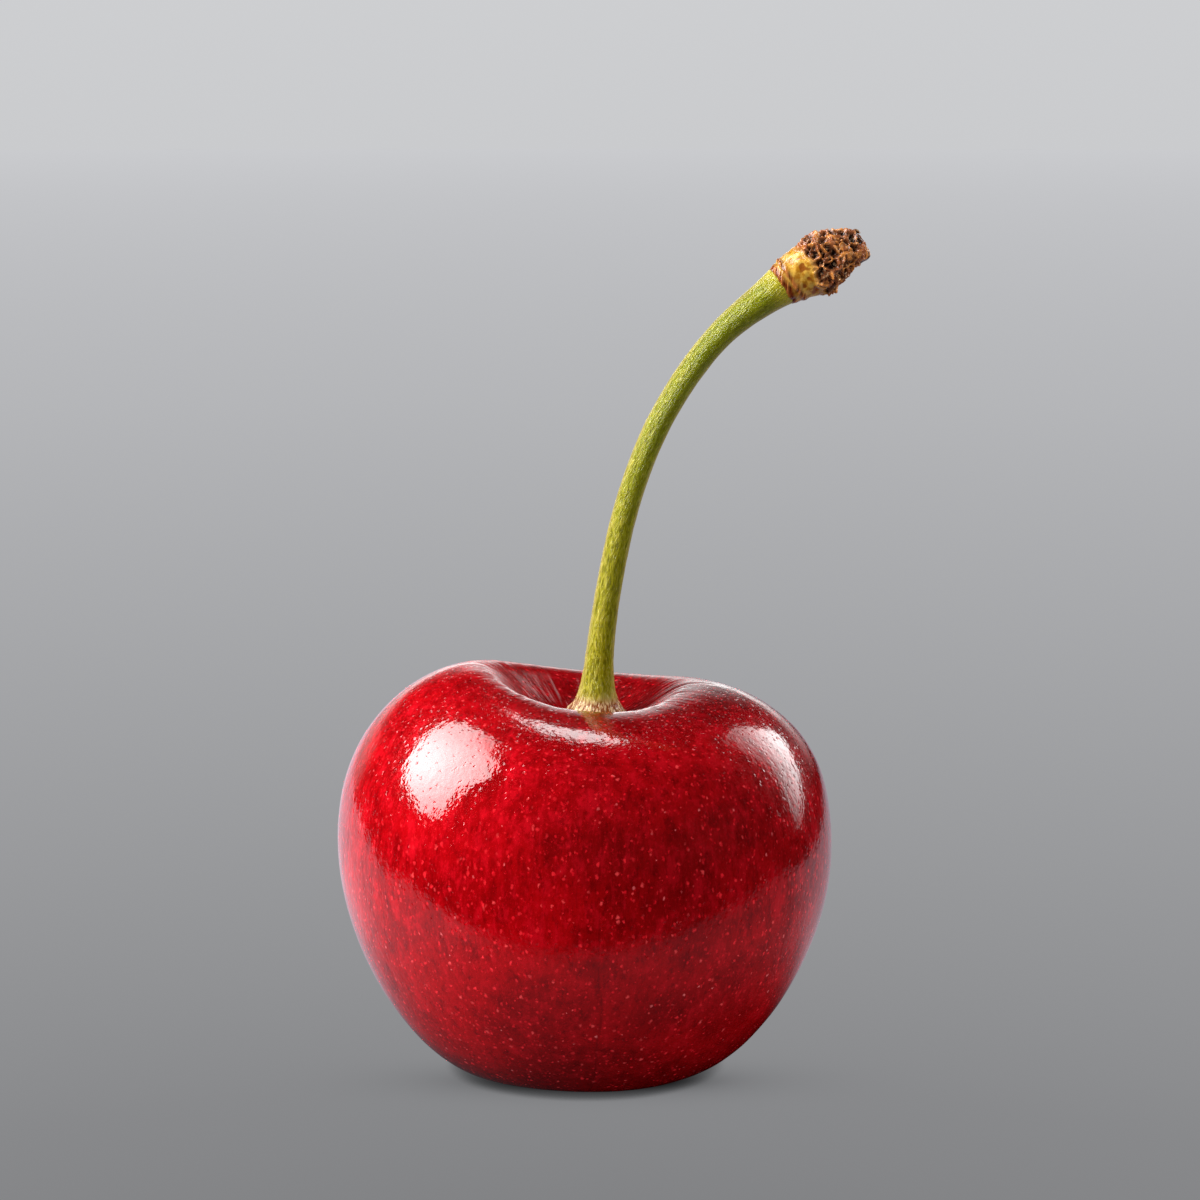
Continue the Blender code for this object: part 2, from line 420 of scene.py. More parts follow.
def skin_material():
    s = Shader("cherry_skin")
    grown = s.attribute("grown", "Vector")
    longer = s.stretched(grown, (1.0, 1.0, 0.7))
    # the pores are not quite round: their places are bent a little
    bend = s.node("VectorMath", operation="MULTIPLY_ADD")
    s.link(s.noise(grown, 4.5, 2.0, 0.5, "Color"), bend.inputs[0])
    bend.inputs[1].default_value = (PORE_BEND, PORE_BEND, PORE_BEND)
    s.link(longer, bend.inputs[2])
    pore_ways = bend.outputs["Vector"]

    side = s.node("SeparateXYZ")
    s.link(grown, side.inputs["Vector"])
    broad = s.noise(grown, 0.22, 3.0, 0.55)
    patches = s.noise(s.stretched(grown, (1.0, 1.0, 0.75)), 0.85, 4.0, 0.65)
    mottle = s.noise(s.stretched(grown, (1.0, 1.0, 0.38)), 2.3, 4.0, 0.66)
    streaks = s.noise(s.stretched(s.attribute("round", "Vector"), (30.0, 30.0, 0.3)),
                      1.0, 3.0, 0.6)
    fine = s.noise(longer, 7.5, 2.0, 0.6)
    height = s.attribute("height")
    hollow = s.attribute("hollow")

    colour = s.mix(s.range(broad, 0.38, 0.66), SKIN_DEEP, SKIN_BRIGHT)
    blotchy = s.range(height, 0.36, 0.50, 0.6, 1.0)
    upper = s.range(height, 0.3, 0.6, 0.1, 1.0)
    colour = s.paint(colour, SKIN_LIGHT, patches, 0.51, 0.66, 0.58, blotchy)
    colour = s.paint(colour, SKIN_DARK, patches, 0.49, 0.33, 0.52, blotchy)
    colour = s.paint(colour, SKIN_LIGHT, mottle, 0.53, 0.70, 0.60)
    colour = s.paint(colour, SKIN_DARK, mottle, 0.47, 0.32, 0.55)
    colour = s.paint(colour, SKIN_LIGHT, streaks, 0.54, 0.74, 0.36, upper)
    colour = s.paint(colour, SKIN_DARK, streaks, 0.46, 0.3, 0.36, upper)
    colour = s.paint(colour, SKIN_LIGHT, fine, 0.56, 0.72, 0.45)
    colour = s.paint(colour, SKIN_DARK, fine, 0.44, 0.28, 0.25)

    # painted shade, multiplied into the skin's colour: on the right side above mid-height, round
    # the rim and inside the hollow (less on the left), and near the flat spot
    painted_side_shade = s.math("MULTIPLY", s.range(side.outputs["X"], -6.0, 2.5),
                    s.range(height, 0.42, 0.58))
    painted_rim_shade = s.math("MULTIPLY", s.range(height, 0.72, 0.80),
                    s.range(side.outputs["X"], -9.0, -1.0, 0.35, 1.0))
    painted_under_shade = s.range(height, 0.31, 0.17)
    for share, tint in ((painted_side_shade, SKIN_PAINTED_SIDE_SHADE), (painted_rim_shade, SKIN_PAINTED_RIM_SHADE),
                        (painted_under_shade, SKIN_PAINTED_UNDER_SHADE)):
        colour = s.mix(share, colour, tint, blend="MULTIPLY")

    # breathing pores: small balls scattered through space, where the skin cuts them
    low_down = s.range(height, 0.62, 0.40, 0.48, 1.0)
    for scale, size, tint, strength in PORES:
        cells = s.voronoi(pore_ways, scale)
        chance = s.node("SeparateColor")
        s.link(cells.outputs["Color"], chance.inputs["Color"])
        reach = s.range(chance.outputs["Red"], 0.0, 1.0, PORE_SMALLEST * size, size)
        inner = s.math("MULTIPLY", reach, 0.3)
        show = s.math("MULTIPLY", s.range(chance.outputs["Green"], 0.0, 0.8, 0.45, strength),
                      low_down)
        dot = s.range(cells.outputs["Distance"], reach, inner, 0.0, show)
        colour = s.mix(dot, colour, tint)

    colour = s.paint(colour, SKIN_DARK, s.attribute("seam"), 0.11, 0.03, 0.45)
    s.link(colour, s.principled.inputs["Base Color"])

    s.link(s.range(mottle, 0.3, 0.7, 0.26, 0.36, smooth=False),
           s.principled.inputs["Roughness"])
    ripple = s.noise(longer, 2.8, 1.0, 0.4)
    crinkle = s.noise(longer, 6.5, 1.0, 0.5)
    pits = s.range(s.voronoi(pore_ways, 2.7).outputs["Distance"], 0.05, 0.28)
    smoother = s.range(height, 0.64, 0.73, 1.0, 0.68)
    normal = s.bump(ripple, 0.015 * MM, smoother)
    normal = s.bump(crinkle, 0.0075 * MM, smoother, normal)
    normal = s.bump(pits, 0.010 * MM, 1.0, normal)
    s.link(normal, s.principled.inputs["Normal"])
    s.link(normal, s.principled.inputs["Coat Normal"])

    # a weaker gloss inside the hollow, weakest on its back wall
    turn = s.node("SeparateXYZ")
    s.link(s.attribute("round", "Vector"), turn.inputs["Vector"])
    dull = s.math("MULTIPLY", s.range(turn.outputs["Y"], -0.1, 0.3, 0.0, 0.65),
                  s.range(hollow, 0.12, 0.30))
    s.link(s.math("MULTIPLY", s.range(hollow, 0.35, 0.75, 1.0, 0.28),
                  s.math("SUBTRACT", 1.0, dull)),
           s.principled.inputs["Coat Weight"])
    s.set(IOR=1.4, Specular_IOR_Level=0.07, Coat_Roughness=0.018, Coat_IOR=1.5)
    return s.material


# ---- The stalk ------------------------------------------------------------------

def swept_grid(line, radius):
    """Rings of the given radii, square to the middle line."""
    along = np.gradient(line, axis=0)
    along /= np.linalg.norm(along, axis=1, keepdims=True)
    across = np.cross(np.array([0.0, 1.0, 0.0]), along)
    across /= np.linalg.norm(across, axis=1, keepdims=True)
    aside = np.cross(along, across)
    segments = radius.shape[1]
    angle = np.arange(segments) / segments * math.tau
    spoke = (across[:, None] * np.cos(angle)[None, :, None]
             + aside[:, None] * np.sin(angle)[None, :, None])
    return line[:, None] + spoke * radius[..., None], angle


STALK_SINK = 0.45        # the foot is rooted this far into the fruit
STALK_SLEEK = (8.0, 17.0)    # long threads take over from short ones, mm from the foot
THREAD_HEIGHT = 0.016
CORDS = ((0.016, (2.2, 2.2, 0.16), 1.0, 5),)       # height, stretch, scale, seed
LONG_THREADS = ((1.0, (6.5, 6.5, 0.9), 1.0, 6),)
SHORT_THREADS = ((1.0, (6.5, 6.5, 2.2), 1.0, 13),)
FOOT_LUMPS = ((0.08, (2.6, 2.6, 1.0), 1.0, 7),)
FOOT_FRINGE = ((0.20, (5.0, 5.0, 0.8), 1.0, 8),)
FOOT_FRINGE_MEAN, FOOT_FRINGE_LENGTH = 0.08, 0.26
FOOT_LENGTH = 1.5
TWIST = ((0.10, (3.0, 3.0, 1.1), 1.0, 12),)        # radians


def stalk():
    places, length = even_places(lambda p: open_spline(STALK_ROUTE, p), STALK_RINGS)
    line = open_spline(STALK_ROUTE, places)
    root = line[0] - (line[1] - line[0]) / np.linalg.norm(line[1] - line[0]) * STALK_SINK
    line = np.vstack([root, line])
    travelled = np.concatenate([[-STALK_SINK], np.linspace(0, length, STALK_RINGS)])
    distance = travelled[:, None]
    above = np.maximum(distance, 0)
    foot_spread = STALK_FOOT_RADIUS - STALK_RADIUS - STALK_COLLAR_RADIUS
    radius = (STALK_RADIUS
              + foot_spread * np.exp(-above / STALK_FOOT_LENGTH)
              + STALK_COLLAR_RADIUS * np.exp(-above / STALK_COLLAR_LENGTH)
              + (STALK_HEAD_RADIUS - STALK_RADIUS)
              * np.exp((distance - length) / STALK_HEAD_LENGTH))
    angle = np.arange(STALK_SEGMENTS) / STALK_SEGMENTS * math.tau
    around = np.stack(np.broadcast_arrays(np.cos(angle), np.sin(angle), distance), axis=-1)
    turned = angle + layered_noise(around, TWIST)
    twisted = np.stack(np.broadcast_arrays(np.cos(turned), np.sin(turned), distance), axis=-1)
    # fibres lie long on the upper stalk and crumple into short ones lower down
    sleek = smoothstep(distance, *STALK_SLEEK)
    threads = (sleek * layered_noise(twisted, LONG_THREADS)
               + (1 - sleek) * layered_noise(twisted, SHORT_THREADS))
    foot = np.exp(-above / FOOT_LENGTH)
    fringe = np.exp(-above / FOOT_FRINGE_LENGTH) * (
        FOOT_FRINGE_MEAN + layered_noise(around, FOOT_FRINGE))
    relief = (layered_noise(twisted, CORDS) + THREAD_HEIGHT * (1 + foot) * threads
              + foot * layered_noise(around, FOOT_LUMPS) + fringe)
    grid, _ = swept_grid(line, radius + relief)
    piece = grid_object(
        "cherry_stalk", grid,
        {"around": twisted, "thread": threads,
         "from_foot": np.broadcast_to(distance, grid.shape[:2]),
         "from_head": np.broadcast_to(length - distance, grid.shape[:2])},
        stalk_material())
    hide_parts("stalk")
    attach(piece, "root")
    return piece


STALK_GREENS = ((0.186, 0.225, 0.0014), (0.229, 0.254, 0.0029))
STALK_OLIVES = ((0.264, 0.254, 0.0021), (0.307, 0.279, 0.0043))
STALK_SHADE = (0.136, 0.136, 0.0007)
THREAD_DARK, THREAD_PALE_HIGHLIGHT = (0.1, 0.1, 0.0004), (0.514, 0.436, 0.071)
GRAIN_DARK, GRAIN_PALE_AND_HIGHLIGHT = (0.107, 0.1, 0.0006), (0.557, 0.493, 0.107)
STALK_EDGE = (0.4, 0.3, 0.079)
FOOT_STRAWS = ((0.3, 0.186, 0.014), (0.514, 0.414, 0.143))
FOOT_RUSTS = ((0.214, 0.043, 0.0057), (0.671, 0.471, 0.243))
STALK_HEAD = (0.429, 0.357, 0.025)


def stalk_material():
    s = Shader("green_stalk")
    around = s.attribute("around", "Vector")
    thread = s.attribute("thread")
    fine = s.noise(s.stretched(around, (11.0, 11.0, 3.4)), 1.0, 2.0, 0.62)
    patches = s.range(s.noise(s.stretched(around, (1.5, 1.5, 0.4)), 1.0, 3.0, 0.6), 0.4, 0.6)
    from_foot = s.attribute("from_foot")
    side = s.node("SeparateXYZ")
    s.link(around, side.inputs["Vector"])
    # painted light: the left side, where the key lamp falls, gets pale threads and stronger pale
    # grain as a painted highlight, weaker towards the head
    painted_lit_side = s.math("MULTIPLY", s.range(side.outputs["X"], 0.35, -0.55),
                   s.range(from_foot, 17.0, 23.0, 1.0, 0.4))

    colour = s.mix(s.range(from_foot, 17.0, 7.0),
                   s.mix(patches, *STALK_GREENS), s.mix(patches, *STALK_OLIVES))
    # painted shade on the right side of the stalk
    colour = s.paint(colour, STALK_SHADE, side.outputs["X"], -0.25, 0.5, 0.6)
    plain = s.range(from_foot, 8.0, 15.0, 1.0, 0.5)
    colour = s.paint(colour, THREAD_DARK, thread, -0.04, -0.34, 0.70, plain)
    pale = s.math("MULTIPLY", s.range(thread, 0.06, 0.36, 0.20, 0.70), painted_lit_side)
    colour = s.mix(pale, colour, THREAD_PALE_HIGHLIGHT)
    # pale grain: the stalk's own flecks everywhere, strengthened on the left side as a painted
    # highlight
    colour = s.paint(colour, GRAIN_PALE_AND_HIGHLIGHT, fine, 0.53, 0.66, 0.60, s.math("MAXIMUM", painted_lit_side, 0.3))
    colour = s.paint(colour, GRAIN_DARK, fine, 0.47, 0.34, 0.70)
    edge = s.math("ABSOLUTE", side.outputs["X"])
    colour = s.paint(colour, STALK_EDGE, edge, 0.72, 0.97, 0.5)

    # straw-coloured foot, with rusty fibres where it grows from the fruit
    straw = s.mix(s.range(thread, -0.3, 0.3), *FOOT_STRAWS)
    colour = s.paint(colour, straw, from_foot, 1.5, 0.5, 0.7)
    rust = s.mix(s.range(fine, 0.42, 0.60), *FOOT_RUSTS)
    colour = s.paint(colour, rust, from_foot, 1.0, 0.5, 0.95)
    colour = s.paint(colour, STALK_HEAD, s.attribute("from_head"), 1.3, 0.1, 0.7)
    s.link(colour, s.principled.inputs["Base Color"])
    s.link(s.range(fine, 0.3, 0.7, 0.15, 0.28, smooth=False),
           s.principled.inputs["Roughness"])
    s.link(s.bump(fine, 0.12 * MM), s.principled.inputs["Normal"])
    s.set(IOR=1.5, Specular_IOR_Level=0.32)
    return s.material


# ---- The woody end --------------------------------------------------------------

NOISE_SEED = 11          # noise_vector draws its offsets from this seed
WARP_SCALE, WARP_REACH = 0.9, 0.6


def crumple(places, cell, seed, width):
    """Raised folds round sunken cells: 1 on a fold, falling to 0 in a cell."""
    noise.seed_set(NOISE_SEED)
    offset = Vector((seed * 3.1, seed * 1.7, seed * 2.3))
    result = np.empty(len(places))
    for index, place in enumerate(places):
        p = Vector(place) / cell + offset
        p = p + noise.noise_vector(p * WARP_SCALE) * WARP_REACH
        distances, _ = noise.voronoi(p)
        result[index] = distances[1] - distances[0]
    return np.exp(-(result / width) ** 2)


BARK_START = 1.95        # the dry crust begins this far along the woody end, mm
BARK_BLEND = (0.4, 0.35)     # and takes over from before to after that place
BIG_CELL, SMALL_CELL = (0.74, 1, 0.20), (0.33, 2, 0.24)      # size, seed, fold width
STRAND_PLACE, STRAND_WIDTH = 0.19, 0.25      # the strand at the joint, mm
SECOND_PLACE, SECOND_WIDTH, SECOND_HEIGHT = 0.64, 0.16, 0.9
DRAWN_IN = 0.55          # how far the far underside draws in, mm
BLUNT = 0.36             # how far the upper side stands out, mm


def woody_body():
    """Grid and surface readings of the woody end, without its loose scales."""
    places, length = even_places(lambda p: open_spline(WOODY_ROUTE, p), WOODY_RINGS)
    line = open_spline(WOODY_ROUTE, places)
    share = np.linspace(0, 1, WOODY_RINGS)
    radii = open_spline([(r,) for r in WOODY_RADII], share)
    angle = np.arange(WOODY_SEGMENTS) / WOODY_SEGMENTS * math.tau
    distance = share[:, None] * length
    plain, _ = swept_grid(line, np.broadcast_to(radii, (WOODY_RINGS, WOODY_SEGMENTS)))
    flat = plain.reshape(-1, 3)
    around = np.stack(np.broadcast_arrays(np.cos(angle), np.sin(angle), distance), axis=-1)
    wander = noise_at(around * np.array([1.3, 1.3, 0.9]), 1.0, 14)
    bark = smoothstep(distance + 0.55 * wander + 0.12 * np.sin(2 * angle + 0.6),
                      BARK_START - BARK_BLEND[0], BARK_START + BARK_BLEND[1])
    big = crumple(flat, *BIG_CELL).reshape(plain.shape[:2])
    small = crumple(flat, *SMALL_CELL).reshape(plain.shape[:2])
    lumps = noise_at(plain, 1.1, 9)
    grit = noise_at(plain, 5.0, 15)

    # two reddish strands bind the joint; past them the wood is smooth and amber
    second = SECOND_PLACE + 0.09 * np.sin(angle + 0.8)
    uneven = 0.10 * noise_at(around * np.array([1.2, 1.2, 0.5]), 1.0, 18)
    strand = np.maximum(
        np.exp(-((distance - STRAND_PLACE + uneven) / STRAND_WIDTH) ** 2),
        SECOND_HEIGHT * np.exp(-((distance - second - uneven) / SECOND_WIDTH) ** 2))
    slant = angle + 1.1 * distance
    slanted = np.stack(np.broadcast_arrays(np.cos(slant), np.sin(slant), distance), axis=-1)
    pleats = noise_at(slanted * np.array([8.0, 8.0, 1.6]), 1.0, 16)
    wrinkles = noise_at(around * np.array([2.2, 2.2, 2.8]), 1.0, 10)
    creases = noise_at(plain, 2.6, 17)
    amber = (0.095 * strand + 0.065 * pleats * strand + 0.05 * wrinkles * (1 - strand)
             + 0.05 * creases - 0.03)
    crust = 0.21 * big + 0.10 * small + 0.30 * lumps + 0.02 * grit - 0.12
    taper = smoothstep(share, 1.0, 0.86)[:, None]
    below, above = np.maximum(np.cos(angle), 0), np.maximum(-np.cos(angle), 0)
    drawn_in = DRAWN_IN * smoothstep(share, 0.50, 0.62) * smoothstep(share, 0.98, 0.82)
    drawn_in = drawn_in[:, None] * below
    blunt = BLUNT * smoothstep(share, 0.62, 0.84) * smoothstep(share, 1.0, 0.88)
    blunt = blunt[:, None] * above
    normal = grid_normals(plain)
    relief = (1 - bark) * amber + bark * crust * taper + blunt - drawn_in
    fold = np.clip(0.55 * big + 0.35 * small + 0.25 * lumps + 0.1 * grit, 0, 1)
    readings = {
        "bark": np.broadcast_to(bark, big.shape), "fold": fold,
        "strand": np.broadcast_to(strand, big.shape), "wrinkle": wrinkles,
        "creased": creases, "edge": np.zeros(big.shape), "pleat": pleats,
    }
    return plain + normal * relief[..., None], normal, readings


SCALE_COUNT = 34
SCALE_ROWS, SCALE_COLUMNS = 12, 9
SCALE_THICKNESS = 0.045
SCALE_TURN = 0.381966    # golden share of a turn from one scale to the next


def bud_scale(base, outward, forward, width, reach, curl, lean, draw):
    """A thin dry scale: a curled leaf of bark with two faces and a closed edge.

    It grows from base, rises by the angle lean from the surface, and curls
    back by the angle curl over its reach."""
    side = np.cross(forward, outward)
    rows = np.linspace(0, 1, SCALE_ROWS)[:, None]
    columns = np.linspace(-1, 1, SCALE_COLUMNS)[None, :]
    wobble = draw.normal(0, 0.16, (SCALE_ROWS, SCALE_COLUMNS))
    wobble = (wobble + np.roll(wobble, 1, 0) + np.roll(wobble, 1, 1)) / 2
    turn = lean + curl * rows
    step = reach / (SCALE_ROWS - 1)
    ahead = np.cumsum(np.cos(turn), axis=0) * step
    rise = np.cumsum(np.sin(turn), axis=0) * step
    spread = width * (0.55 + 0.75 * np.sin(np.pi * (0.12 + 0.76 * rows)) ** 0.8 - 0.45 * rows ** 3)
    cup = 0.45 * width * columns ** 2 * (0.3 + rows)
    notch = 1 - 0.16 * rows * (1 - np.cos(columns * 4.2 + draw.uniform(0, 6)))
    middle = (base + forward * (ahead * notch)[..., None]
              + outward * (rise + cup + 0.10 * wobble * rows)[..., None]
              + side * (columns * spread * (1 + 0.15 * wobble))[..., None])
    thin = SCALE_THICKNESS * (1 - 0.55 * rows)
    normal = np.cross(np.gradient(middle, axis=1), np.gradient(middle, axis=0))
    normal /= np.maximum(np.linalg.norm(normal, axis=2, keepdims=True), 1e-9)
    top = middle + normal * thin[..., None] / 2
    under = middle - normal * thin[..., None] / 2
    verts = np.concatenate([top.reshape(-1, 3), under.reshape(-1, 3)])
    count = SCALE_ROWS * SCALE_COLUMNS
    faces = []
    for quad in quad_faces(SCALE_ROWS, SCALE_COLUMNS, closed=False):
        faces.append(tuple(quad))
        faces.append(tuple(count + v for v in reversed(quad)))
    spots = np.arange(count).reshape(SCALE_ROWS, SCALE_COLUMNS)
    border = [*spots[0, :-1].tolist(), *spots[:-1, -1].tolist(),
              *spots[-1, :0:-1].tolist(), *spots[:0:-1, 0].tolist()]
    for first, second in zip(border, border[1:] + border[:1]):
        faces.append((second, first, count + first, count + second))
    edge = np.maximum(rows ** 2 * np.ones_like(columns), np.abs(columns) ** 3 * rows)
    return verts, faces, np.concatenate([edge.ravel(), 0.4 * edge.ravel()])


def woody_end():
    grid, normal, readings = woody_body()
    rings, segments, _ = grid.shape
    draw = np.random.default_rng(41)
    material = woody_material()
    piece = grid_object("cherry_woody_end", grid, readings, material)

    # loose scales stand in rough rows on the crust
    forward_all = np.gradient(grid, axis=0)
    verts, faces, edges, shades = [], [], [], []
    for index in range(SCALE_COUNT):
        along = 0.40 + 0.50 * ((index + draw.uniform(-0.4, 0.4)) / SCALE_COUNT)
        row = int(np.clip(along, 0.36, 0.93) * (rings - 1))
        column = int((index * SCALE_TURN + draw.uniform(-0.05, 0.05)) % 1 * segments)
        outward = normal[row, column] / np.linalg.norm(normal[row, column])
        forward = forward_all[row, column]
        forward = forward - outward * (forward @ outward)
        forward /= np.linalg.norm(forward)
        twist = draw.normal(0, 0.7)
        side = np.cross(outward, forward)
        forward = forward * math.cos(twist) + side * math.sin(twist)
        leaf, quads, edge = bud_scale(
            grid[row, column] - outward * 0.06 - forward * 0.10, outward, forward,
            width=draw.uniform(0.10, 0.22), reach=draw.uniform(0.25, 0.50),
            curl=draw.uniform(-2.2, -0.4), lean=draw.uniform(0.35, 0.8), draw=draw)
        start = sum(len(v) for v in verts)
        verts.append(leaf)
        faces.extend(tuple(start + v for v in quad) for quad in quads)
        edges.append(edge)
        shades.append(np.full(len(leaf), draw.uniform(0.15, 0.85)))
    mesh = bpy.data.meshes.new("scales")
    mesh.from_pydata((np.concatenate(verts) * MM).tolist(), [], faces)
    for key, values in (("edge", np.concatenate(edges)), ("fold", np.concatenate(shades)),
                        ("bark", np.ones(sum(len(v) for v in verts)))):
        write_reading(mesh, key, values)
    mesh.shade_smooth()
    mesh.materials.append(material)
    scales = bpy.data.objects.new("scales", mesh)
    bpy.context.scene.collection.objects.link(scales)
    with bpy.context.temp_override(active_object=piece, object=piece,
                                   selected_editable_objects=[piece, scales]):
        bpy.ops.object.join()
    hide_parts("woody_end")
    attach(piece, "root")
    return piece


AMBERS = ((0.357, 0.143, 0.0071), (0.586, 0.336, 0.05))
AMBER_PALE, AMBER_CREASE = (0.614, 0.429, 0.121), (0.214, 0.043, 0.0036)
STRANDS = ((0.114, 0.014, 0.0021), (0.393, 0.121, 0.029))
CRESTS = ((0.29, 0.088, 0.031), (0.57, 0.210, 0.045))
HOLES_IN_SHADE = ((0.0086, 0.0036, 0.0029), (0.143, 0.043, 0.014))
BARK_PALE_AND_GLINT, BARK_DARK = (0.643, 0.4, 0.214), (0.036, 0.011, 0.0071)
SCALE_EDGE = (0.443, 0.2, 0.064)
BETWEENS = ((0.214, 0.05, 0.0071), (0.529, 0.257, 0.071))


def woody_material():
    s = Shader("bud_wood")
    place = s.node("TexCoord").outputs["Object"]
    mottle = s.noise(place, 2400.0, 5.0, 0.62)
    grain = s.noise(place, 4200.0, 3.0, 0.6)
    hue = s.noise(place, 1900.0, 2.0, 0.5)
    fold = s.attribute("fold")
    amber = s.mix(s.range(mottle, 0.40, 0.62), *AMBERS)
    amber = s.paint(amber, AMBER_PALE, s.attribute("wrinkle"), 0.1, 0.4, 0.45)
    amber = s.paint(amber, AMBER_CREASE, s.attribute("creased"), -0.12, -0.40, 0.85)
    strands = s.mix(s.range(s.attribute("pleat"), -0.2, 0.3), *STRANDS)
    amber = s.mix(s.attribute("strand"), amber, strands)
    between = s.mix(s.range(fold, 0.1, 0.6), *BETWEENS)
    amber = s.paint(amber, between, s.attribute("bark"), 0.0, 0.5, 0.85)

    crest = s.mix(s.range(hue, 0.42, 0.58), *CRESTS)
    # painted shade: the crust goes near black down in its sunken cells and lighter on its raised
    # folds, laid over the bark's own browns
    bark = s.mix(s.range(fold, 0.06, 0.42), *HOLES_IN_SHADE)
    bark = s.paint(bark, crest, fold, 0.38, 0.75)
    # pale flecks: partly the bark's own colour, partly painted glints
    bark = s.paint(bark, BARK_PALE_AND_GLINT, grain, 0.56, 0.70, 0.60)
    bark = s.paint(bark, BARK_DARK, grain, 0.44, 0.30, 0.5)
    bark = s.paint(bark, SCALE_EDGE, s.attribute("edge"), 0.25, 0.9, 0.8)
    s.link(s.paint(amber, bark, s.attribute("bark"), 0.35, 0.9),
           s.principled.inputs["Base Color"])
    s.link(s.range(grain, 0.3, 0.7, 0.12, 0.34, smooth=False),
           s.principled.inputs["Roughness"])
    s.link(s.bump(grain, 0.04 * MM, 0.6), s.principled.inputs["Normal"])
    s.set(IOR=1.5, Specular_IOR_Level=0.35)
    return s.material


# ---- The studio ------------------------------------------------------------------

CAMERA_DISTANCE = 181.8                  # mm
CAMERA_ELEVATION = math.radians(9.0)
AIM = Vector((0.81, 0.0, 26.12))         # mm


def camera():
    data = bpy.data.cameras.new("camera")
    data.lens = 100.0
    data.sensor_width = 36.0
    data.clip_start = 0.01
    data.clip_end = 20.0
    rig = bpy.data.objects.new("camera", data)
    away = Vector((0, -math.cos(CAMERA_ELEVATION), math.sin(CAMERA_ELEVATION)))
    rig.location = (AIM + away * CAMERA_DISTANCE) * MM
    rig.rotation_euler = (math.pi / 2 - CAMERA_ELEVATION, 0, 0)
    bpy.context.scene.collection.objects.link(rig)
    bpy.context.scene.camera = rig


def direction(azimuth, elevation):
    """Unit vector; azimuth 0 is towards the camera, 90 to its right."""
    a, e = math.radians(azimuth), math.radians(elevation)
    return Vector((math.sin(a) * math.cos(e), -math.cos(a) * math.cos(e), math.sin(e)))


def see_only(thing, camera=False, diffuse=False, glossy=False, shadow=False):
    thing.visible_camera = camera
    thing.visible_diffuse = diffuse
    thing.visible_glossy = glossy
    thing.visible_transmission = glossy
    thing.visible_volume_scatter = False
    thing.visible_shadow = shadow


# lamps: name, azimuth, elevation, width and height in degrees, radiance
LAMPS = (
    ("key", -76, 33, 42, 42, 12.9),
    ("right_back", 118, 24, 30, 40, 5.6),
    ("right_low", 62, 11, 30, 26, 3.6),
)
LIGHT_RANGE = 0.6                        # metres
CENTRE = Vector((0.0, 0.0, 0.014))       # middle of the fruit, metres
WORLD_COLOUR, WORLD_STRENGTH = (0.98, 0.99, 1.0), 0.42


def softbox(name, azimuth, elevation, width_deg, height_deg, radiance):
    """A rectangular lamp that lights the matt side of things only."""
    data = bpy.data.lights.new(name, "AREA")
    data.shape = "RECTANGLE"
    data.size = 2 * LIGHT_RANGE * math.tan(math.radians(width_deg / 2))
    data.size_y = 2 * LIGHT_RANGE * math.tan(math.radians(height_deg / 2))
    data.energy = radiance * math.pi * data.size * data.size_y
    light = bpy.data.objects.new(name, data)
    toward = direction(azimuth, elevation)
    light.location = CENTRE + toward * LIGHT_RANGE
    light.rotation_euler = toward.to_track_quat("Z", "Y").to_euler()
    bpy.context.scene.collection.objects.link(light)
    light.visible_camera = False
    light.visible_glossy = False
    return light


def stage_mesh(name, verts, faces, material, glow=None, **seen):
    mesh = bpy.data.meshes.new(name)
    mesh.from_pydata(verts, [], faces)
    if glow is not None:
        write_reading(mesh, "glow", np.asarray(glow, dtype=float))
    mesh.materials.append(material)
    mesh.shade_smooth()
    thing = bpy.data.objects.new(name, mesh)
    bpy.context.scene.collection.objects.link(thing)
    see_only(thing, **seen)
    return thing


def glow_material(name, colour):
    """Light whose strength is written on the mesh."""
    s = Shader(name)
    glow = s.node("Emission")
    glow.inputs["Color"].default_value = (*colour, 1.0)
    s.link(s.attribute("glow"), glow.inputs["Strength"])
    s.link(glow.outputs["Emission"], s.tree.nodes["Material Output"].inputs["Surface"])
    s.material.cycles.emission_sampling = "NONE"
    return s.material


STAGE_RADIUS = 2.3             # metres
STAGE_MIDDLE_Y = -0.06         # metres
FLOOR_SIDES = 128
FLOOR_HUE = (0.985, 0.995, 1.03)
FLOOR_TONES = (                # distance from the middle of the floor in mm, brightness
    (37, 0.227), (56, 0.250), (97, 0.305), (225, 0.397), (440, 0.468),
    (1335, 0.552), (2300, 0.60),
)
BACKDROP_HUE = (0.985, 0.995, 1.02)
BACKDROP_ROWS, BACKDROP_TURNS = 25, 96
BACKDROP_TOP = 1.5             # radians above the floor
BACKDROP_LOW, BACKDROP_GAIN, BACKDROP_FADE = 0.60, 0.30, 0.6

SHADOW_AT = (0.35, -3.25)      # where the shadow lies on the floor, mm
SHADOW_CORE = (5.2, 1.95)      # half-widths of its dark middle, mm
SHADOW_TAIL = (7.8, 2.8)       # and of its pale fringe, mm
SHADOW_FLOOR = 0.03            # brightness left in the darkest place
NOOK_REACH = 0.8               # how near the fruit has to be to darken the floor, mm


